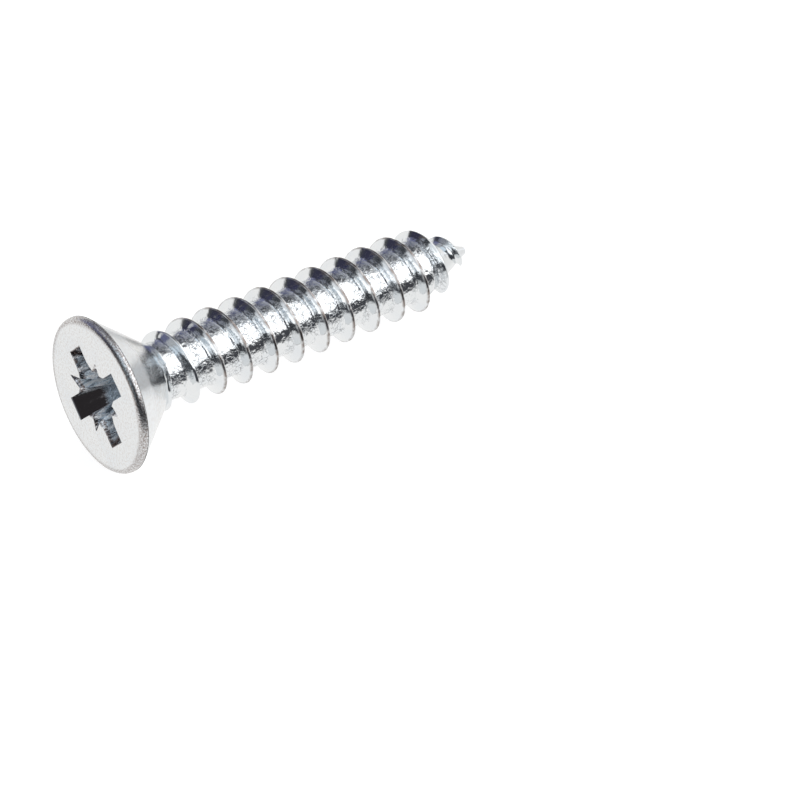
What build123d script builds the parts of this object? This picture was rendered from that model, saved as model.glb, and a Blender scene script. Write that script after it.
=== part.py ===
from build123d import *
import os
from math import cos, pi, radians, sin, tan

# Countersunk wood screw, 3.5 x 19, with a cross recess. A screw is one piece of steel:
# the head is upset and the thread is rolled on the same wire, so it is one solid.
# Millimetres and degrees. The axis lies on X: the flat face of the head is the plane
# X = 0, +X points out of the head towards the driver, and the point is at X = -LENGTH.
# Depths are measured from the head face towards the point, and turns about the axis
# from +Z towards +Y.

# ---- head ----
LENGTH = 18.8                   # nominally 19
HEAD_DIAMETER = 6.75
HEAD_LAND = 0.31                # rim between the face and the cone
HEAD_CONE_ANGLE = 80.0          # included angle of the countersink
FACE_EDGE_ROUND = 0.20          # between the face and the rim
RIM_EDGE_ROUND = 0.05           # between the rim and the cone

# ---- shank ----
NECK_DIAMETER = 3.12            # short plain neck under the cone
NECK_END = 2.68                 # depth where the neck steps down to the core
NECK_STEP = 0.40                # length of that step
NECK_FILLET = 0.45
CORE_DIAMETER = 2.54
POINT_LENGTH = 2.45             # conical gimlet point, without its rounded end
POINT_RADIUS = 0.20             # the point is blunt
POINT_CAP = 0.15                # length of the blunt end
POINT_BLEND = 1.50

# ---- rolled thread, right hand ----
PITCH = 1.3
THREAD_DIAMETER = 3.53
CREST_WIDTH = 0.11
FLANK_SLOPE = 0.39             # half width gained per millimetre below the crest
CREST_TURN = 93.0              # where the crest's helix would cross the head face
THREAD_START = 2.15             # depth where the ridge starts, buried in the neck
START_BURIED = 0.24             # how far below the neck it starts
START_RAMP = 0.40               # length over which it comes out of the neck
THREAD_GROWTH = 2.00            # length over which it then grows to full height
CREST_FULLNESS = 0.75           # power of the crest's fall along the point
THREAD_END = 0.25               # the ridge stops this far before the point
END_FADE = 0.40                 # length over which it sinks into the point
FOOT_RATIO = 0.85               # the ridge is rooted at this part of the core radius
RIDGE_PARTS = 13                # lengths of ridge, about one turn each
POINTS_PER_PART = 24

# ---- cross recess: four wings, and a narrow rib cut between each two ----
RECESS_TURN = 130.0             # direction of one wing
RECESS_DEPTH = 2.30
RECESS_SPAN = 4.24              # across two opposite wings, at the face
RECESS_FLOOR_SPAN = 2.10        # the same, where the floor cone starts
RECESS_FLOOR_DEPTH = 1.95
WING_WIDTH = 1.00
WING_FLOOR_WIDTH = 0.50
RIB_CUT_SPAN = 3.40
RIB_CUT_FLOOR_SPAN = 1.60
RIB_CUT_WIDTH = 0.44
RIB_CUT_FLOOR_WIDTH = 0.20
RIB_CUT_DEPTH = 1.60
CUTTER_LEAD = 0.40              # the cutters start this far above the face

head_radius = HEAD_DIAMETER / 2
neck_radius = NECK_DIAMETER / 2
core_radius = CORE_DIAMETER / 2
thread_radius = THREAD_DIAMETER / 2
cone_end = HEAD_LAND + (head_radius - neck_radius) / tan(radians(HEAD_CONE_ANGLE / 2))


def turned_body():
    """Head, neck, core and point: a half profile turned about the axis."""
    face_edge = (0, head_radius)
    rim_edge = (-HEAD_LAND, head_radius)
    cone_foot = (-cone_end, neck_radius)
    point_start = (POINT_LENGTH + POINT_CAP - LENGTH, core_radius)
    profile = make_face(
        Polyline(
            (0, 0),
            face_edge,
            rim_edge,
            cone_foot,
            (-NECK_END, neck_radius),
            (-NECK_END - NECK_STEP, core_radius),
            point_start,
            (POINT_CAP - LENGTH, POINT_RADIUS),
            (POINT_CAP / 3 - LENGTH, POINT_RADIUS * 0.7),
            (-LENGTH, 0),
            close=True,
        )
    )
    rounds = (
        (face_edge, FACE_EDGE_ROUND),
        (rim_edge, RIM_EDGE_ROUND),
        (cone_foot, NECK_FILLET),
        (point_start, POINT_BLEND),
    )
    for place, radius in rounds:
        corner = profile.vertices().sort_by_distance(place)[0]
        profile = fillet(corner, radius)
    return revolve(profile, Axis.X)


def tapered(depth, radius, power):
    """A radius that falls to the point's own radius along the point."""
    left = (LENGTH - POINT_CAP - depth) / POINT_LENGTH
    return POINT_RADIUS + (radius - POINT_RADIUS) * min(1.0, max(0.0, left)) ** power


def foot_radius_at(depth):
    """Radius of the ridge's buried foot, inside the core and the point."""
    return FOOT_RATIO * tapered(depth, core_radius, 1)


def crest_radius_at(depth):
    """Crest radius: out of the neck, up to full height, then down along the point."""
    emerged = min(1.0, (depth - THREAD_START) / START_RAMP)
    growth = (depth - THREAD_START - START_RAMP) / THREAD_GROWTH
    grown = min(1.0, max(0.0, growth))
    radius = neck_radius - START_BURIED * (1 - emerged)
    radius += (thread_radius - neck_radius) * grown
    radius = min(radius, tapered(depth, thread_radius, CREST_FULLNESS))
    foot = foot_radius_at(depth)
    fade = min(1.0, (LENGTH - depth - THREAD_END) / END_FADE)
    least_height = 0.05 * foot
    return foot + least_height + (radius - foot - least_height) * fade


def on_helix(depth, radius, shift):
    """Point on the right-hand helix of the crest, moved towards the point by shift."""
    turn = radians(CREST_TURN) + 2 * pi * depth / PITCH
    return (-depth - shift, radius * sin(turn), radius * cos(turn))


def ridge_rails(start, end):
    """Two crest edges and two foot edges of the ridge, between two depths."""
    rails = [[], [], [], []]
    for i in range(POINTS_PER_PART + 1):
        depth = start + (end - start) * i / POINTS_PER_PART
        crest = crest_radius_at(depth)
        foot = foot_radius_at(depth)
        half_crest = CREST_WIDTH / 2
        half_foot = half_crest + FLANK_SLOPE * (crest - foot)
        rails[0].append(on_helix(depth, crest, -half_crest))
        rails[1].append(on_helix(depth, crest, half_crest))
        rails[2].append(on_helix(depth, foot, half_foot))
        rails[3].append(on_helix(depth, foot, -half_foot))
    return [Edge.make_spline(points) for points in rails]


def end_cap(rails, position):
    """Flat face across one end of the ridge."""
    return make_face(Polyline(*[rail @ position for rail in rails], close=True)).face()


def thread_ridge():
    """The rolled thread: ruled faces between four helical rails, one turn at a time."""
    faces = []
    part_length = (LENGTH - THREAD_END - THREAD_START) / RIDGE_PARTS
    for part in range(RIDGE_PARTS):
        start = THREAD_START + part_length * part
        rails = ridge_rails(start, start + part_length)
        for i in range(4):
            faces.append(Face.make_surface_from_curves(rails[i], rails[i - 1]))
        if part == 0:
            faces.append(end_cap(rails, 0))
    faces.append(end_cap(rails, 1))
    return Solid(Shell(faces))


def tapered_plug(span, floor_span, floor_depth, depth):
    """Turned cutter: a taper from the face down to a shallow conical floor."""
    slope = (span - floor_span) / 2 / floor_depth
    top_radius = span / 2 + slope * CUTTER_LEAD
    profile = make_face(
        Polyline(
            (CUTTER_LEAD, 0),
            (CUTTER_LEAD, top_radius),
            (-floor_depth, floor_span / 2),
            (-depth, 0),
            close=True,
        )
    )
    return revolve(profile, Axis.X)


def tapered_slot(width, floor_width, depth, turn):
    """Wedge-shaped slab across the whole head, in the direction given by turn."""
    half_top = width / 2 + (width - floor_width) / 2 / depth * CUTTER_LEAD
    profile = make_face(
        Polyline(
            (CUTTER_LEAD, half_top),
            (-depth, floor_width / 2),
            (-depth, -floor_width / 2),
            (CUTTER_LEAD, -half_top),
            close=True,
        )
    )
    slab = extrude(profile, amount=head_radius, both=True)
    return slab.rotate(Axis.X, -turn)


def recess_cutter():
    """Cross recess: two crossed wing slots and two crossed rib cuts, each in its plug."""
    wing_plug = tapered_plug(RECESS_SPAN, RECESS_FLOOR_SPAN, RECESS_FLOOR_DEPTH, RECESS_DEPTH)
    rib_plug = tapered_plug(RIB_CUT_SPAN, RIB_CUT_FLOOR_SPAN, RIB_CUT_DEPTH, RIB_CUT_DEPTH + 0.2)
    wings = [
        tapered_slot(WING_WIDTH, WING_FLOOR_WIDTH, RECESS_DEPTH, RECESS_TURN + quarter)
        for quarter in (0, 90)
    ]
    ribs = [
        tapered_slot(RIB_CUT_WIDTH, RIB_CUT_FLOOR_WIDTH, RECESS_DEPTH, RECESS_TURN + eighth)
        for eighth in (45, 135)
    ]
    return (wings[0] + wings[1]) & wing_plug, (ribs[0] + ribs[1]) & rib_plug


def screw():
    """The whole screw as one solid."""
    wing_cutter, rib_cutter = recess_cutter()
    return turned_body() + thread_ridge() - wing_cutter - rib_cutter


os.makedirs("parts", exist_ok=True)
export_step(screw(), "parts/screw.step")
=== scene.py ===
import math

import bpy
import numpy as np
from mathutils import Matrix, Vector, noise


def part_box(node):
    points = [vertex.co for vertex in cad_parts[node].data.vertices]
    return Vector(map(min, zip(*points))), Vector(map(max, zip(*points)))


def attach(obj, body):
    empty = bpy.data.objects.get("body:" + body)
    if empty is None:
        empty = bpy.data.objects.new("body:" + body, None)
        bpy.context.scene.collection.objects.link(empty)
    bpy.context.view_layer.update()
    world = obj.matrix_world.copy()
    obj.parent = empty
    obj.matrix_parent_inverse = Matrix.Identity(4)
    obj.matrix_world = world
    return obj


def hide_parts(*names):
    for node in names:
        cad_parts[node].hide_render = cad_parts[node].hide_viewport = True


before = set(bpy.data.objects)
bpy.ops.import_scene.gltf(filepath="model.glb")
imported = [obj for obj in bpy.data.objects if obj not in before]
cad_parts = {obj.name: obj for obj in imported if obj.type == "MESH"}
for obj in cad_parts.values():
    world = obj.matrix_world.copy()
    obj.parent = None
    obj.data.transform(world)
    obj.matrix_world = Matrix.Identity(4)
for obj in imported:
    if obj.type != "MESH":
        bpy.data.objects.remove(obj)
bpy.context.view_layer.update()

# The screw's axis is X: the head face is at x = 0 and the point at -X. Shapes are worked
# out in millimetres and written to meshes in metres. "Depth" is the distance from the
# head face towards the point, and a turn is the angle about X, from +Z towards +Y.
MM = 0.001
TAU = 2 * math.pi

low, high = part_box("screw")
LENGTH = (high.x - low.x) / MM
HEAD_RADIUS = (high.y - low.y) / 2 / MM

# ---- turned shape and thread, the sizes of the CAD model ----
HEAD_LAND = 0.31                # height of the rim
CONE_SLOPE = math.tan(math.radians(40.0))
FACE_EDGE_ROUND = 0.20          # the rim is rounded over from the face down to the cone
RIM_EDGE_ROUND = 0.05
NECK_RADIUS = 1.56
NECK_END = 2.68                 # depth where the neck steps down to the core
NECK_STEP = 0.40                # length of that step
CORE_RADIUS = 1.27
POINT_LENGTH = 2.45             # the tapered part, without the rounded end
POINT_RADIUS = 0.20
POINT_CAP = 0.15                # length of the rounded end
CREST_FULLNESS = 0.75           # power of the crest's fall along the point
PITCH = 1.3
THREAD_RADIUS = 1.765
CREST_WIDTH = 0.11
FLANK_SLOPE = 0.39              # half width gained per millimetre below the crest
CREST_TURN = math.radians(93.0)  # where the crest's helix would cross the head face
THREAD_START = 2.15             # depth where the ridge starts, buried in the neck
START_BURIED = 0.24             # how far below the neck it starts
START_RAMP = 0.40               # length over which it comes out of the neck
THREAD_GROWTH = 2.00            # length over which it then grows to full height

# ---- recess: four wings, and between them four cuts with torn, pointed tips ----
RECESS_TURN = math.radians(130.0)  # direction of one wing
RECESS_DEPTH = 2.30
RECESS_FLOOR_DEPTH = 1.95
WING_RADIUS = 2.12              # how far the wings reach, at the face and at the floor
WING_FLOOR_RADIUS = 1.05
WING_HALF = 0.50                # half the width of a wing
WING_FLOOR_HALF = 0.25
WING_FLARE = 0.28               # how much wider a wing is beside the cuts, at the face
WING_FLARE_DEPTH = 0.50
FLARE_LENGTH = 0.30             # how far along the wing that flare runs
LEAST_END_SIDE = 0.04           # what is left of a wing's straight side, deep down
RIB_HALF = 0.24                 # the cuts between the wings
RIB_FLOOR_HALF = 0.10
RIB_REACHES = (1.69, 1.86, 1.62, 1.58)      # how far each cut reaches, at the face
RIB_FLOOR_RADIUS = 0.80
RIB_DEPTH = 1.60
RIB_TIP_HALF = 0.03
RIB_TEAR = 0.26                 # a cut's tip reaches this much less just below the face
RIB_TEAR_DEPTH = 0.10
LEAST_CUT = 0.02                # least length of a cut, deep down
RIB_TIP_LENGTH = 0.02           # length of the torn tip itself

# ---- mesh density ----
COLUMNS = 184                   # points round the screw, a multiple of 8
END_POINTS = 5                  # points from the middle of a wing's end to its corner
FLARE_POINTS = 4                # points along a wing's flare
CUT_POINTS = 5                  # points along one side of a cut
FACE_RINGS = 12                 # from the rim to the recess
POINT_RINGS = 7                 # from the last full pitch to the rounded end
LEAST_POINT = 0.1               # least length left for those rings
RECESS_RINGS = (0.012, 0.035, 0.08, 0.14, 0.25, 0.4, 0.6, 0.85, 1.1, 1.35, 1.6, 1.8, 1.95)
FLOOR_RINGS = (0.8, 0.55, 0.3)  # shares of the floor's radius
CREST_ROWS = 4                  # rows of one thread pitch
FLANK_ROWS = 7
ROOT_ROWS = 14
CREST_SPAN = 0.045              # half widths within a pitch, as parts of the pitch
FLANK_SPAN = 0.20
SHARP_ANGLE = math.radians(38.0)  # steeper edges are shaded sharp

# ---- soft blends of the turned outline ----
NECK_BLEND = 0.08
ROOT_BLEND = 0.12
CREST_BLEND = 0.03

# ---- surface marks left by forming ----
MARKS_RAMP = 0.8                # length over which the thread's marks set in
FOLD_BAND = (0.16, 0.04)        # above the core: where a root's folds start and are full
ROOT_BAND = (0.15, 0.05)        # the same for the root's look
CREST_EDGE_BAND = (0.022, 0.006)      # below the crest: where the crest's mark starts and is full
NICK_BAND = (0.15, 0.60)        # noise at which a nick starts and is full
ROOT_FOLD_HEIGHT = 0.026
FLANK_WAVE_HEIGHT = 0.004
CREST_NICK_HEIGHT = 0.010
BURR_HEIGHT = 0.030
BURR_START = 0.82               # share of the way from the rim to the recess
LIP_ROUND = 0.030               # how much wider the recess is at its lip
LIP_GROW = 0.012                # and at the first ring below
DRAG_MARK_DEPTH = 0.020
TEAR_DEPTH = 0.010
WING_END_MARKS = 0.25           # the wings' ends carry this share of those two


def soft_max(a, b, blend):
    """Larger of two values, with a rounded changeover."""
    mix = np.clip(0.5 + 0.5 * (a - b) / blend, 0, 1)
    return b + (a - b) * mix + blend * mix * (1 - mix)


def soft_min(a, b, blend):
    """Smaller of two values, with a rounded changeover."""
    return -soft_max(-a, -b, blend)


def steps(start, end, count):
    """count even steps from start up to, but not including, end."""
    return np.linspace(start, end, count, endpoint=False)


def smooth_step(value, low_end, high_end):
    """From 0 to 1 while value goes from low_end to high_end, which may be the lower."""
    t = np.clip((value - low_end) / (high_end - low_end), 0, 1)
    return t * t * (3 - 2 * t)


# ---- outline of the turned body and the thread ----

def tapered(depth, radius, power):
    """A radius that falls to the point's own radius along the tapered end."""
    left = np.clip((LENGTH - POINT_CAP - depth) / POINT_LENGTH, 0, 1)
    return POINT_RADIUS + (radius - POINT_RADIUS) * left ** power


def body_radius(depth):
    """Cone, neck, core and point, without the thread."""
    cone = HEAD_RADIUS - (depth - HEAD_LAND) * CONE_SLOPE
    drop = smooth_step(depth, NECK_END - NECK_STEP / 4, NECK_END + NECK_STEP)
    shank = NECK_RADIUS + (CORE_RADIUS - NECK_RADIUS) * drop
    return soft_max(cone, np.minimum(shank, tapered(depth, CORE_RADIUS, 1)), NECK_BLEND)


def crest_radius(depth):
    """The crest comes out of the neck, grows, and falls along the point."""
    emerged = np.minimum(1, (depth - THREAD_START) / START_RAMP)
    grown = np.clip((depth - THREAD_START - START_RAMP) / THREAD_GROWTH, 0, 1)
    radius = NECK_RADIUS - START_BURIED * (1 - emerged)
    radius = radius + (THREAD_RADIUS - NECK_RADIUS) * grown
    return np.minimum(radius, tapered(depth, THREAD_RADIUS, CREST_FULLNESS))


def crest_distance(turn, depth):
    """Distance along the axis to the nearest crest, positive towards the point."""
    pitches = (depth - PITCH * (turn - CREST_TURN) / TAU) / PITCH
    return (pitches - np.round(pitches)) * PITCH


def shank_radius(turn, depth):
    """Radius of the threaded shank at each turn and depth."""
    away = np.abs(crest_distance(turn, depth))
    crest = crest_radius(depth)
    ridge = crest - (away - CREST_WIDTH / 2) / FLANK_SLOPE
    ridge = soft_min(ridge, crest, CREST_BLEND)
    return soft_max(ridge, body_radius(depth), ROOT_BLEND)


def place(turn, depth, radius):
    """Points in millimetres from turns, depths and radii."""
    turn, depth, radius = np.broadcast_arrays(turn, depth, radius)
    return np.stack([-depth, radius * np.sin(turn), radius * np.cos(turn)], -1)


# ---- recess outline ----

def between(start, end, share):
    """Part of the way from start to end, for shares from 0 to 1."""
    return start + (end - start) * min(1.0, max(0.0, share))


def half_outline(depth, rib_reach):
    """From the middle of a wing's end to the tip of the next rib cut."""
    down = depth / RECESS_FLOOR_DEPTH
    rib_down = depth / RIB_DEPTH
    reach = between(WING_RADIUS, WING_FLOOR_RADIUS, down)
    wing = between(WING_HALF, WING_FLOOR_HALF, down)
    inner = wing * (1 + WING_FLARE * math.exp(-depth / WING_FLARE_DEPTH))
    base_half = between(RIB_HALF, RIB_FLOOR_HALF, rib_down)
    base = inner * math.sqrt(2) + base_half
    tear = RIB_TEAR * (1 - math.exp(-depth / RIB_TEAR_DEPTH))
    tip = between(rib_reach, RIB_FLOOR_RADIUS, rib_down) - tear * (1 - min(1.0, rib_down))
    tip = max(tip, base + LEAST_CUT)
    diagonal = Vector((1, 1)).normalized()
    across = Vector((1, -1)).normalized()
    corner = diagonal * base + across * base_half
    stops = [
        Vector((reach, 0)),
        Vector((reach, wing)),
        Vector((min(corner.x + FLARE_LENGTH, reach - LEAST_END_SIDE), wing)),
        corner,
        diagonal * (tip - RIB_TIP_LENGTH) + across * RIB_TIP_HALF,
        diagonal * tip,
    ]
    side_points = COLUMNS // 8 - END_POINTS - FLARE_POINTS - CUT_POINTS - 1
    counts = (END_POINTS, side_points, FLARE_POINTS, CUT_POINTS, 1)
    points = []
    for start, end, count in zip(stops, stops[1:], counts):
        points += [start.lerp(end, t) for t in steps(0, 1, count)]
    return points, stops[-1]


def recess_outline(depth):
    """The whole outline at one depth: COLUMNS points, the first on a wing's axis."""
    rounds = []
    for k, reach in enumerate(RIB_REACHES):
        half, tip = half_outline(depth, reach)
        first = [(p.x, p.y) for p in half + [tip]]
        second = [(y, x) for x, y in reversed(first[1:-1])]
        c, s = math.cos(k * TAU / 4), math.sin(k * TAU / 4)
        rounds.append(np.array(first + second) @ np.array([[c, s], [-s, c]]))
    return np.concatenate(rounds)


# ---- mesh of the screw ----

def pitch_rows():
    """Places of the rows within one pitch; the crest is at the middle."""
    a, b = FLANK_SPAN, CREST_SPAN
    root = ROOT_ROWS // 2
    return np.concatenate([
        steps(0, 0.5 - a, root),
        steps(0.5 - a, 0.5 - b, FLANK_ROWS),
        steps(0.5 - b, 0.5 + b, CREST_ROWS),
        steps(0.5 + b, 0.5 + a, FLANK_ROWS),
        steps(0.5 + a, 1, root),
    ])


class ScrewMesh:
    """Vertices and faces of the screw, and the region that each vertex belongs to."""

    def __init__(self):
        self.points = []
        self.regions = []
        self.faces = []
        self.count = 0

    def add(self, points, region):
        """Adds points. Their region is FACE, RIM and so on, or an array of one per point."""
        start = self.count
        self.points.append(points)
        self.regions.append(np.broadcast_to(region, len(points)))
        self.count += len(points)
        return np.arange(start, self.count)

    def join(self, ring_a, ring_b):
        """Faces between two rings of COLUMNS points."""
        a, b = np.roll(ring_a, -1), np.roll(ring_b, -1)
        self.faces.extend(np.stack([ring_a, a, b, ring_b], -1).tolist())

    def close(self, ring, centre):
        """Triangles from a ring to one point."""
        for i, vertex in enumerate(ring):
            self.faces.append([int(vertex), int(ring[(i + 1) % len(ring)]), int(centre[0])])


FACE, RIM, RECESS, RECESS_END, CONE, SHANK = range(6)
column_turns = steps(0, TAU, COLUMNS)

# The recess's outline starts on a wing, so its points are rolled on to the screw's columns.
recess_shift = round(RECESS_TURN / TAU * COLUMNS)
past_wing = np.arange(COLUMNS) % (COLUMNS // 4)
on_wing_end = np.minimum(past_wing, COLUMNS // 4 - past_wing) <= END_POINTS
recess_regions = np.roll(np.where(on_wing_end, RECESS_END, RECESS), recess_shift)


def off_point(depths):
    """1 along the shank, 0 on the smooth end of the point."""
    return smooth_step(depths, LENGTH - POINT_LENGTH / 3, LENGTH - POINT_LENGTH)


def noise_at(points, stretch, seed):
    """Smooth noise between about -1 and 1 at each point, with a stretch for each axis."""
    scaled = points * np.array(stretch) + seed
    return np.array([noise.noise(Vector(p)) for p in scaled])


def roughened(points, turns, depths, radii):
    """Folds in the roots, faint waves on the flanks and nicks on the crests."""
    away = np.abs(crest_distance(turns, depths))
    threaded = smooth_step(depths, THREAD_START, THREAD_START + MARKS_RAMP)
    crest = smooth_step(away, CREST_WIDTH, CREST_WIDTH / 2) * threaded
    fold_start, fold_full = FOLD_BAND
    root = smooth_step(radii, CORE_RADIUS + fold_start, CORE_RADIUS + fold_full)
    root = root * threaded * off_point(depths)
    broad = noise_at(points, (3.1, 1.5, 1.5), 3.7)
    fine = noise_at(points, (6.5, 4.0, 4.0), 11.3)
    folds = 0.5 * broad + 0.5 * (1 - 2 * np.abs(fine))
    height = ROOT_FOLD_HEIGHT * root * folds
    height += FLANK_WAVE_HEIGHT * noise_at(points, (1.6, 1.6, 1.6), 23.1)
    nicks = smooth_step(noise_at(points, (2.0, 5.0, 5.0), 31.9), *NICK_BAND)
    height -= CREST_NICK_HEIGHT * crest * nicks
    return radii + height


def thread_surface(mesh):
    """Helical rows from the cone to near the point.

    Returns the first ring, the last ring and the depth of the last.
    """
    top = -PITCH * CREST_TURN / TAU - PITCH / 2     # midway between two crests
    while top < HEAD_LAND:
        top += PITCH
    turns_down = int((LENGTH - POINT_CAP - LEAST_POINT - top) / PITCH)
    end = top + turns_down * PITCH
    rows = pitch_rows()
    per_pitch = len(rows)
    last = (turns_down + 1) * per_pitch

    # Cells one pitch long follow the helix down the columns. In column 0 the first cell
    # has no height, so its points are one. After a full turn the cells have moved on by
    # a pitch.
    depths = np.empty((COLUMNS, last + 1))
    for j, turn in enumerate(column_turns):
        bounds = [top] + [top + PITCH * (turn / TAU + m) for m in range(turns_down)] + [end]
        cells = [a + (b - a) * rows for a, b in zip(bounds, bounds[1:])]
        depths[j] = np.concatenate(cells + [[end]])
    kept = np.ones(depths.shape, bool)
    kept[0, :per_pitch] = False
    turns = np.repeat(column_turns[:, None], last + 1, 1)[kept]
    depths = depths[kept]
    radii = shank_radius(turns, depths)
    radii = roughened(place(turns, depths, radii), turns, depths, radii)
    region = np.where(depths < NECK_END - NECK_STEP, CONE, SHANK)
    index = np.empty((COLUMNS + 1, last + 1), int)
    index[:COLUMNS][kept] = mesh.add(place(turns, depths, radii), region)
    index[0, :per_pitch] = index[0, per_pitch]
    index[COLUMNS] = index[0, np.minimum(np.arange(last + 1) + per_pitch, last)]
    for left, right in zip(index, index[1:]):
        for q in range(last):
            corners = dict.fromkeys((left[q], right[q], right[q + 1], left[q + 1]))
            if len(corners) > 2:
                mesh.faces.append([int(v) for v in corners])
    return index[:COLUMNS, 0], index[:COLUMNS, last], end


def point_rings(mesh, ring, start):
    """The last rings, down to the blunt point."""
    end_depth = LENGTH - POINT_CAP
    for depth in np.linspace(start, end_depth, POINT_RINGS + 1)[1:]:
        radii = shank_radius(column_turns, np.full(COLUMNS, depth))
        new = mesh.add(place(column_turns, depth, radii), SHANK)
        mesh.join(ring, new)
        ring = new
    for angle in np.radians([15, 30, 45, 60, 75]):
        depth = end_depth + POINT_CAP * math.sin(angle)
        new = mesh.add(place(column_turns, depth, radii * math.cos(angle)), SHANK)
        mesh.join(ring, new)
        ring = new
    mesh.close(ring, mesh.add(np.array([[-LENGTH, 0, 0]]), SHANK))


def rim_outline():
    """Depths and radii from the cone, over the rim, to the flat of the face."""
    back = HEAD_LAND + RIM_EDGE_ROUND
    profile = [
        (back, HEAD_RADIUS - RIM_EDGE_ROUND),
        (HEAD_LAND, HEAD_RADIUS - RIM_EDGE_ROUND / 4),
    ]
    for angle in np.radians([0, 12, 25, 40, 55, 72, 90]):
        profile.append((
            (HEAD_LAND - RIM_EDGE_ROUND) * (1 - math.sin(angle)),
            HEAD_RADIUS - FACE_EDGE_ROUND * (1 - math.cos(angle)),
        ))
    return profile


def recess_points(depth, grow, scale=1.0):
    """Points round the recess at one depth, with the punch's drag marks."""
    flat = recess_outline(min(depth, RECESS_FLOOR_DEPTH)) * scale
    angle = np.arctan2(flat[:, 1], flat[:, 0])
    radius = np.hypot(flat[:, 0], flat[:, 1]) + grow
    drawn = np.array([noise.noise(Vector((a * 6.0, depth * 0.35, 5.2))) for a in angle])
    tears = np.array([noise.noise(Vector((a * 9.0, depth * 4.0, 9.4))) for a in angle])
    marked = np.where(on_wing_end, WING_END_MARKS, 1.0)
    radius = radius + marked * (DRAG_MARK_DEPTH * drawn + TEAR_DEPTH * tears)
    return np.roll(place(angle + RECESS_TURN, depth, radius), recess_shift, 0)


def head_rings(mesh, ring):
    """From the cone's first ring over the rim, across the face and into the recess."""
    for depth, radius in rim_outline():
        new = mesh.add(place(column_turns, depth, radius), RIM)
        mesh.join(new, ring)
        ring = new
    circle = place(column_turns, 0, HEAD_RADIUS - FACE_EDGE_ROUND)
    lip = recess_points(0, LIP_ROUND)
    for share in np.linspace(0, 1, FACE_RINGS + 1)[1:]:
        points = circle + (lip - circle) * share
        burr = smooth_step(share, BURR_START, 1.0) * BURR_HEIGHT
        points[:, 0] += burr * np.clip(noise_at(points, (1, 1.3, 1.3), 41.7), 0, 1)
        new = mesh.add(points, FACE)
        mesh.join(new, ring)
        ring = new
    for depth in RECESS_RINGS:
        grow = LIP_GROW if depth == RECESS_RINGS[0] else 0.0
        new = mesh.add(recess_points(depth, grow), recess_regions)
        mesh.join(new, ring)
        ring = new
    for share in FLOOR_RINGS:
        floor_depth = RECESS_DEPTH + (RECESS_FLOOR_DEPTH - RECESS_DEPTH) * share
        points = recess_points(floor_depth, 0, share)
        new = mesh.add(points, RECESS)
        mesh.join(new, ring)
        ring = new
    mesh.close(ring[::-1], mesh.add(np.array([[-RECESS_DEPTH, 0, 0]]), RECESS))


def add_marks(data, mesh, points):
    """Point attributes for the material: the regions, and the thread's crests and roots."""
    region = np.concatenate(mesh.regions)
    radius = np.hypot(points[:, 1], points[:, 2])
    shank = (region == SHANK) * off_point(-points[:, 0])
    crest_start, crest_full = CREST_EDGE_BAND
    root_start, root_full = ROOT_BAND
    crest = smooth_step(radius, THREAD_RADIUS - crest_start, THREAD_RADIUS - crest_full)
    root = smooth_step(radius, CORE_RADIUS + root_start, CORE_RADIUS + root_full)
    values = {
        "face": region == FACE,
        "rim": region == RIM,
        "recess": (region == RECESS) | (region == RECESS_END),
        "recess_end": region == RECESS_END,
        "cone": region == CONE,
        "crest": shank * crest,
        "root": shank * root,
    }
    for name, value in values.items():
        mark = data.attributes.new(name, "FLOAT", "POINT")
        mark.data.foreach_set("value", value.astype(np.float32))


def build_screw():
    """The screw's mesh object, in metres."""
    mesh = ScrewMesh()
    head_ring, end_ring, end = thread_surface(mesh)
    head_rings(mesh, head_ring)
    point_rings(mesh, end_ring, end)
    points = np.concatenate(mesh.points)
    data = bpy.data.meshes.new("screw_body")
    data.from_pydata((points * MM).tolist(), [], mesh.faces)
    data.polygons.foreach_set("use_smooth", [True] * len(data.polygons))
    data.set_sharp_from_angle(angle=SHARP_ANGLE)
    add_marks(data, mesh, points)
    screw = bpy.data.objects.new("screw_body", data)
    bpy.context.scene.collection.objects.link(screw)
    return screw


# ---- material ----

ZINC_LIGHT = (0.80, 0.82, 0.83, 1)
ZINC_BLUE = (0.76, 0.79, 0.815, 1)
FROSTED = (0.72, 0.71, 0.70, 1)         # fine dull grain on the face and the cone
RECESS_PAINTED_SHADE = (0.33, 0.29, 0.28, 1)     # painted shade, near the lip and high on the wings' ends
DRAWN_BLUE_AND_PAINTED_LIGHT = (0.70, 0.79, 0.86, 1)     # walls that the punch has drawn, their lighter blue partly painted light
# streaks on the recess walls, darkened with painted shade
STREAK_PAINTED_SHADE = (0.24, 0.26, 0.29, 1)
# streaks and flecks on the recess walls, whitened as painted highlights
STREAK_PAINTED_HIGHLIGHT = (0.96, 0.97, 0.98, 1)
# darker brown on the thread's crests
CREST_BROWN = (0.24, 0.20, 0.18, 1)
# the rim's dark brown: partly wear, partly painted dark reflection
WORN_RIM_AND_PAINTED_REFLECTION = (0.27, 0.22, 0.20, 1)
CRACK_PAINTED_SHADE = (0.12, 0.11, 0.12, 1)         # fine cracks in the thread's roots, darkened with painted shade
STREAK_SQUEEZE = 0.08                   # squeezes X, so that noise is drawn out along it
CRACK_BEND = 0.9                        # how far cracks bend, in sizes of a cell


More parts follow.
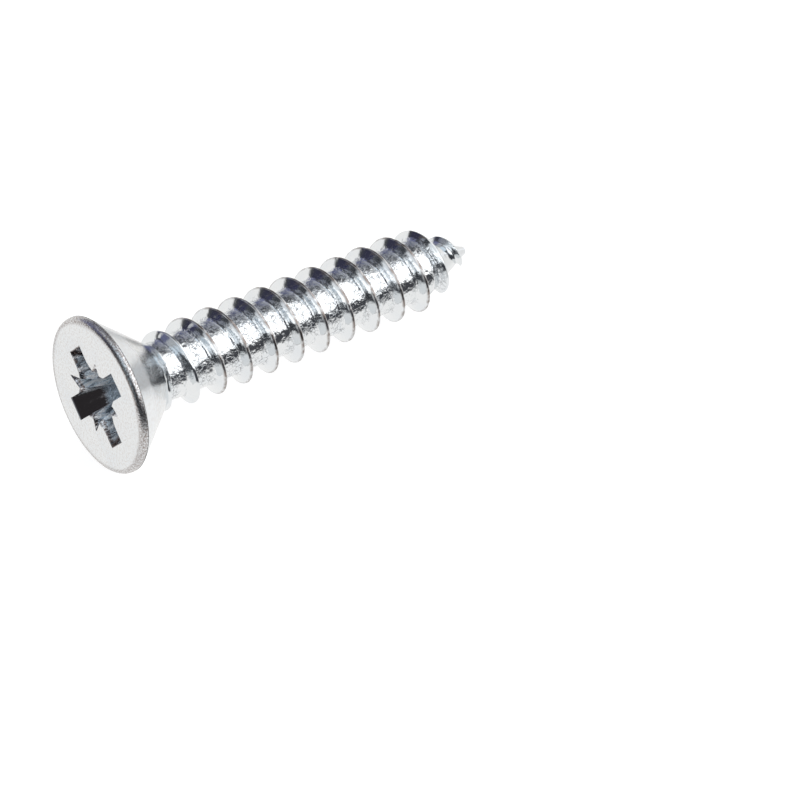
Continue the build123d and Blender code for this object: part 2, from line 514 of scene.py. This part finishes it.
class Nodes:
    """Builds a material's node tree with one call per node."""

    def __init__(self, name):
        self.material = bpy.data.materials.new(name)
        self.material.use_nodes = True
        self.tree = self.material.node_tree
        self.shader = self.tree.nodes["Principled BSDF"]
        self.coords = self.add("ShaderNodeTexCoord").outputs["Object"]

    def add(self, kind, inputs=None, **settings):
        """A new node, with its settings, and a value or a link for each named input."""
        node = self.tree.nodes.new(kind)
        for key, value in settings.items():
            setattr(node, key, value)
        for key, value in (inputs or {}).items():
            self.put(node.inputs[key], value)
        return node

    def put(self, socket, value):
        """Links another node's output to a socket, or sets the socket's value."""
        if isinstance(value, bpy.types.NodeSocket):
            self.tree.links.new(value, socket)
        else:
            socket.default_value = value

    def mark(self, name):
        """One of the mesh's marks, from 0 to 1."""
        return self.add("ShaderNodeAttribute", attribute_name=name).outputs["Fac"]

    def noise(self, size, detail=2.0, roughness=0.5):
        """Noise from 0 to 1, with features of about size millimetres."""
        inputs = {"Vector": self.coords, "Scale": 1 / (size * MM)}
        inputs |= {"Detail": detail, "Roughness": roughness}
        return self.add("ShaderNodeTexNoise", inputs).outputs["Fac"]

    def streaks(self, size):
        """Noise drawn out along the screw's axis, about size millimetres wide."""
        stretch = (STREAK_SQUEEZE, 1.0, 1.0)
        drawn = self.add("ShaderNodeVectorMath", {0: self.coords, 1: stretch}, operation="MULTIPLY")
        inputs = {"Vector": drawn.outputs["Vector"], "Scale": 1 / (size * MM), "Detail": 2.0}
        return self.add("ShaderNodeTexNoise", inputs).outputs["Fac"]

    def cracks(self, size):
        """Distance to the nearest edge of cells of about size millimetres."""
        bent = self.add("ShaderNodeTexNoise", {"Vector": self.coords, "Scale": 2 / (size * MM)})
        push = self.add("ShaderNodeVectorMath", operation="SCALE")
        self.put(push.inputs[0], bent.outputs["Color"])
        self.put(push.inputs["Scale"], size * MM * CRACK_BEND)
        moved = self.add("ShaderNodeVectorMath", operation="ADD")
        self.put(moved.inputs[0], self.coords)
        self.put(moved.inputs[1], push.outputs["Vector"])
        inputs = {"Vector": moved.outputs["Vector"], "Scale": 1 / (size * MM)}
        cells = self.add("ShaderNodeTexVoronoi", inputs)
        cells.feature = "DISTANCE_TO_EDGE"
        return cells.outputs["Distance"]

    def range(self, value, start, end, low=0.0, high=1.0):
        """Smoothly from low to high while value goes from start to end."""
        inputs = {"Value": value, "From Min": start, "From Max": end}
        inputs |= {"To Min": low, "To Max": high}
        node = self.add("ShaderNodeMapRange", inputs, interpolation_type="SMOOTHSTEP")
        return node.outputs["Result"]

    def maths(self, operation, a, b=0.0):
        """One step of arithmetic."""
        node = self.add("ShaderNodeMath", operation=operation)
        self.put(node.inputs[0], a)
        self.put(node.inputs[1], b)
        return node.outputs["Value"]

    def total(self, *values):
        """Sum of any number of values."""
        result = values[0]
        for value in values[1:]:
            result = self.maths("ADD", result, value)
        return result

    def share(self, mask, amount):
        """A mask times an amount or another mask."""
        return self.maths("MULTIPLY", mask, amount)

    def mix(self, mask, a, b):
        """Colour a, turning to b where the mask is 1."""
        inputs = {"Factor": mask, "A": a, "B": b}
        return self.add("ShaderNodeMix", inputs, data_type="RGBA").outputs["Result"]


def zinc_material():
    """Bright zinc plate: clear on the flanks, frosted on the head, darker brown on the crests, worn
    and painted with dark reflection on the rim, with painted shade and highlights in the recess.
    """
    n = Nodes("zinc_plate")
    face, rim, recess = n.mark("face"), n.mark("rim"), n.mark("recess")
    cone, crest, root = n.mark("cone"), n.mark("crest"), n.mark("root")

    # Recess: painted shade on the walls turns to a drawn steel blue with painted light just below
    # the lip, and on the wings' ends about a millimetre further down. The edge between the two
    # colours is uneven.
    depth = n.add("ShaderNodeSeparateXYZ", {"Vector": n.coords}).outputs["X"]
    depth = n.maths("MULTIPLY", depth, -1 / MM)
    uneven_depth = n.total(depth, n.share(n.noise(0.30, 4.0, 0.65), -0.60))
    wing_end = n.mark("recess_end")
    side = n.maths("SUBTRACT", recess, wing_end)
    drawn = n.total(
        n.share(side, n.range(uneven_depth, -0.12, -0.08)),
        n.share(wing_end, n.range(uneven_depth, 0.75, 1.05)),
    )
    # Streaks on the side walls in painted highlight and painted shade, and flecks as painted
    # glints.
    highlight_streaks = n.share(side, n.range(n.streaks(0.14), 0.52, 0.57))
    shaded_streaks = n.share(side, n.range(n.streaks(0.14), 0.46, 0.40))
    glint_flecks = n.share(drawn, n.range(n.noise(0.10, 4.0, 0.7), 0.56, 0.66, 0.0, 0.8))

    # Grain of the head, patches of the plating, and cracks in parts of the roots.
    grain, speckle, patches = n.noise(0.10, 3.0, 0.6), n.noise(0.06, 3.0, 0.7), n.noise(0.9, 3.0)
    cracks = n.range(n.cracks(0.26), 0.0, 0.05, 1.0, 0.0)
    patchy_cracks = n.share(cracks, n.share(root, n.range(patches, 0.40, 0.60)))

    # The crests turn a patchy darker brown.
    crest_darkening = n.share(crest, n.range(n.noise(0.35), 0.35, 0.60, 0.35, 0.95))
    # Speckled dark brown over the rim: partly wear, partly painted dark reflection.
    rim_wear_and_painted_reflection = n.share(rim, n.range(speckle, 0.40, 0.60, 0.10, 0.85))
    colour = n.mix(n.range(patches, 0.35, 0.75), ZINC_LIGHT, ZINC_BLUE)
    frost = n.share(n.total(face, cone), n.range(grain, 0.45, 0.65))
    colour = n.mix(frost, colour, FROSTED)
    # painted shade over the whole recess
    colour = n.mix(recess, colour, RECESS_PAINTED_SHADE)
    # drawn steel blue, partly painted light, on the deeper walls
    colour = n.mix(drawn, colour, DRAWN_BLUE_AND_PAINTED_LIGHT)
    colour = n.mix(shaded_streaks, colour, STREAK_PAINTED_SHADE)
    colour = n.mix(n.total(highlight_streaks, glint_flecks), colour, STREAK_PAINTED_HIGHLIGHT)
    colour = n.mix(crest_darkening, colour, CREST_BROWN)
    colour = n.mix(rim_wear_and_painted_reflection, colour, WORN_RIM_AND_PAINTED_REFLECTION)
    # painted shade in the roots' cracks
    colour = n.mix(n.share(patchy_cracks, 0.35), colour, CRACK_PAINTED_SHADE)
    n.put(n.shader.inputs["Base Color"], colour)

    # The first value is the bare plating's, and the others are added to it.
    rough = n.total(
        0.06, n.share(face, 0.12), n.share(rim, 0.08), n.share(cone, 0.06), n.share(crest, 0.16),
        n.share(recess, -0.03), n.share(drawn, 0.22), n.share(grain, 0.05), n.share(root, 0.02),
    )
    n.put(n.shader.inputs["Roughness"], rough)

    # The cone is duller near the rim, and so are the recess's walls.
    outer_cone = n.share(cone, n.range(n.total(depth, n.share(n.noise(0.5), 0.5)), 1.75, 1.25))
    dull = n.total(n.share(outer_cone, 0.55), n.share(drawn, 0.35), n.share(highlight_streaks, 0.50))
    n.put(n.shader.inputs["Metallic"], n.maths("SUBTRACT", 1.0, dull))

    # Fine relief, in millimetres.
    grained = n.total(n.share(face, 0.35), n.share(rim, 0.4), n.share(cone, 0.28))
    height = n.total(
        n.share(n.share(grained, grain), 0.022),
        n.share(n.share(rim, speckle), 0.010),
        n.share(n.share(drawn, n.noise(0.15, 3.0)), 0.020),
        n.share(n.share(side, n.streaks(0.12)), 0.060),
        n.share(n.share(patchy_cracks, -1.0), 0.010),
        n.share(n.share(root, n.noise(0.12, 3.0)), 0.020),
        n.share(n.noise(0.3), 0.004),
    )
    bump = n.add("ShaderNodeBump", {"Height": height, "Distance": MM, "Strength": 1.0})
    n.put(n.shader.inputs["Normal"], bump.outputs["Normal"])
    return n.material


# ---- studio ----

CAMERA_AZIMUTH = 139.47         # degrees, from -Y towards +X
CAMERA_ELEVATION = 40.09
CAMERA_ROLL = 6.1
CAMERA_DISTANCE = 163.68        # from the head's centre, along the view
HEAD_RIGHT = -12.298            # where the head's centre lies from the middle of the view
HEAD_UP = 0.115
LENS = 182.2                    # millimetres, like the sensor's width
SENSOR_WIDTH = 36.0
CLIP_START = 0.01               # metres
CLIP_END = 10.0
ROOM = (0.060, 0.062, 0.070)    # the dark room between the lights
BACKDROP = (1.0, 1.0, 1.0)      # what the camera itself sees behind the screw
FLOOR_REACH = 1000.0
RAMP_START = 0.2                # the floor rises between these depths, from the rim's
RAMP_END = 16.2                 # lowest line to the crests'
FLOOR_GREY = 0.3
FLOOR_GLOW = 0.88


def direction(azimuth, elevation):
    """Unit vector for a direction in degrees, seen from the screw."""
    a, e = math.radians(azimuth), math.radians(elevation)
    return (math.sin(a) * math.cos(e), -math.cos(a) * math.cos(e), math.sin(e))


def camera():
    """The scene's camera, placed by its view of the head's centre."""
    data = bpy.data.cameras.new("camera")
    data.lens = LENS
    data.sensor_width = SENSOR_WIDTH
    data.clip_start = CLIP_START
    data.clip_end = CLIP_END
    cam = bpy.data.objects.new("camera", data)
    back = Vector(direction(CAMERA_AZIMUTH, CAMERA_ELEVATION))
    level = Vector((0, 0, 1)).cross(back).normalized()
    roll = math.radians(CAMERA_ROLL)
    right = level * math.cos(roll) + back.cross(level) * math.sin(roll)
    up = back.cross(right)
    offset = back * CAMERA_DISTANCE - right * HEAD_RIGHT - up * HEAD_UP
    rotation = Matrix((right, up, back)).transposed().to_4x4()
    cam.matrix_world = Matrix.Translation(offset * MM) @ rotation
    bpy.context.scene.collection.objects.link(cam)
    bpy.context.scene.camera = cam


class WorldLight:
    """A studio seen in reflections: a dark room with soft bright areas painted on it."""

    def __init__(self, room):
        self.world = bpy.data.worlds.new("studio")
        bpy.context.scene.world = self.world
        self.world.use_nodes = True
        self.tree = self.world.node_tree
        self.nodes, self.links = self.tree.nodes, self.tree.links
        self.coords = self.nodes.new("ShaderNodeTexCoord")
        self.colour = None
        self.room = room

    def mask(self, value, start, end):
        """Smoothly from 0 to 1 while value goes from start to end."""
        ramp = self.nodes.new("ShaderNodeMapRange")
        ramp.interpolation_type = "SMOOTHSTEP"
        ramp.inputs["From Min"].default_value = start
        ramp.inputs["From Max"].default_value = end
        self.links.new(value, ramp.inputs["Value"])
        return ramp.outputs["Result"]

    def paint(self, mask, colour):
        """Lays a colour over what is painted so far, where the mask is 1."""
        mix = self.nodes.new("ShaderNodeMix")
        mix.data_type = "RGBA"
        mix.inputs["B"].default_value = (*colour, 1)
        if self.colour is None:
            mix.inputs["A"].default_value = (*self.room, 1)
        else:
            self.links.new(self.colour, mix.inputs["A"])
        self.links.new(mask, mix.inputs["Factor"])
        self.colour = mix.outputs["Result"]

    def patch(self, azimuth, elevation, radius, edge, colour):
        """A round patch: its middle, its radius and the width of its soft edge, in degrees."""
        dot = self.nodes.new("ShaderNodeVectorMath")
        dot.operation = "DOT_PRODUCT"
        dot.inputs[1].default_value = direction(azimuth, elevation)
        self.links.new(self.coords.outputs["Generated"], dot.inputs[0])
        outer = math.cos(math.radians(radius + edge))
        inner = math.cos(math.radians(radius))
        self.paint(self.mask(dot.outputs["Value"], outer, inner), colour)

    def below(self, start, end, colour):
        """A colour on everything lower than start, fading out up to end."""
        split = self.nodes.new("ShaderNodeSeparateXYZ")
        self.links.new(self.coords.outputs["Generated"], split.inputs[0])
        self.paint(self.mask(split.outputs["Z"], end, start), colour)

    def finish(self, seen):
        """Hands the painted sky to the world; the camera itself sees a plain backdrop."""
        path = self.nodes.new("ShaderNodeLightPath")
        mix = self.nodes.new("ShaderNodeMix")
        mix.data_type = "RGBA"
        mix.inputs["B"].default_value = (*seen, 1)
        self.links.new(self.colour, mix.inputs["A"])
        self.links.new(path.outputs["Is Camera Ray"], mix.inputs["Factor"])
        background = self.nodes["Background"]
        self.links.new(mix.outputs["Result"], background.inputs["Color"])


def studio():
    """The lights, and the view transform."""
    light = WorldLight(ROOM)
    light.patch(0, 90, 22, 14, (0.55, 0.56, 0.58))              # ceiling
    light.patch(15, 30, 26, 12, (0.17, 0.18, 0.30))             # bluish far wall
    light.patch(-15, 35, 12, 10, (0.34, 0.35, 0.40))
    light.patch(30, 54, 10, 12, (0.55, 0.56, 0.58))
    light.patch(-125, 44, 30, 8, (1.80, 1.80, 1.80))            # soft box
    light.patch(-175, 44, 18, 8, (1.60, 1.62, 1.66))
    light.patch(-85, 32, 18, 9, (1.10, 1.10, 1.12))
    light.patch(-78, -10, 15, 6, (0.95, 0.95, 0.94))            # white backdrop
    light.patch(-106, -4, 17, 8, (0.92, 0.91, 0.90))
    light.patch(-62, 4, 18, 8, (0.95, 0.94, 0.92))
    light.patch(-30, -8, 16, 6, (0.98, 0.97, 0.95))
    light.patch(-5, -13, 18, 6, (0.98, 0.97, 0.95))
    light.patch(22, -16, 20, 5, (1.0, 0.99, 0.98))
    light.patch(-22, 18, 5, 7, (0.05, 0.05, 0.10))              # dark gaps
    light.patch(56, 2, 7, 6, (0.04, 0.04, 0.07))
    light.patch(85, -5, 18, 10, (0.14, 0.12, 0.11))
    light.patch(98, 12, 9, 8, (0.40, 0.48, 0.55))               # window
    light.patch(104, 62, 16, 8, (0.85, 0.95, 1.05))
    light.below(-0.44, -0.30, (1.0, 0.99, 0.98))                # white table
    light.finish(BACKDROP)
    scene = bpy.context.scene
    scene.view_settings.view_transform = "Standard"
    scene.view_settings.look = "None"


def floor():
    """Glowing floor: level under the head, then up a gentle ramp that the thread lies on."""
    stops = (
        (FLOOR_REACH, -HEAD_RADIUS),
        (-RAMP_START, -HEAD_RADIUS),
        (-RAMP_END, -THREAD_RADIUS),
        (-FLOOR_REACH, -THREAD_RADIUS),
    )
    points = []
    for x, z in stops:
        points += [(x * MM, y * MM, z * MM) for y in (-FLOOR_REACH, FLOOR_REACH)]
    faces = [(2 * i, 2 * i + 1, 2 * i + 3, 2 * i + 2) for i in range(len(stops) - 1)]
    data = bpy.data.meshes.new("floor")
    data.from_pydata(points, [], faces)
    ground = bpy.data.objects.new("floor", data)
    bpy.context.scene.collection.objects.link(ground)
    n = Nodes("pale_floor")
    n.shader.inputs["Base Color"].default_value = (FLOOR_GREY, FLOOR_GREY, FLOOR_GREY, 1)
    n.shader.inputs["Roughness"].default_value = 1.0
    n.shader.inputs["Emission Color"].default_value = (1.0, 1.0, 1.0, 1)
    n.shader.inputs["Emission Strength"].default_value = FLOOR_GLOW
    data.materials.append(n.material)
    ground.visible_glossy = False


screw = build_screw()
screw.data.materials.append(zinc_material())
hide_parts("screw")
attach(screw, "root")
floor()
studio()
camera()
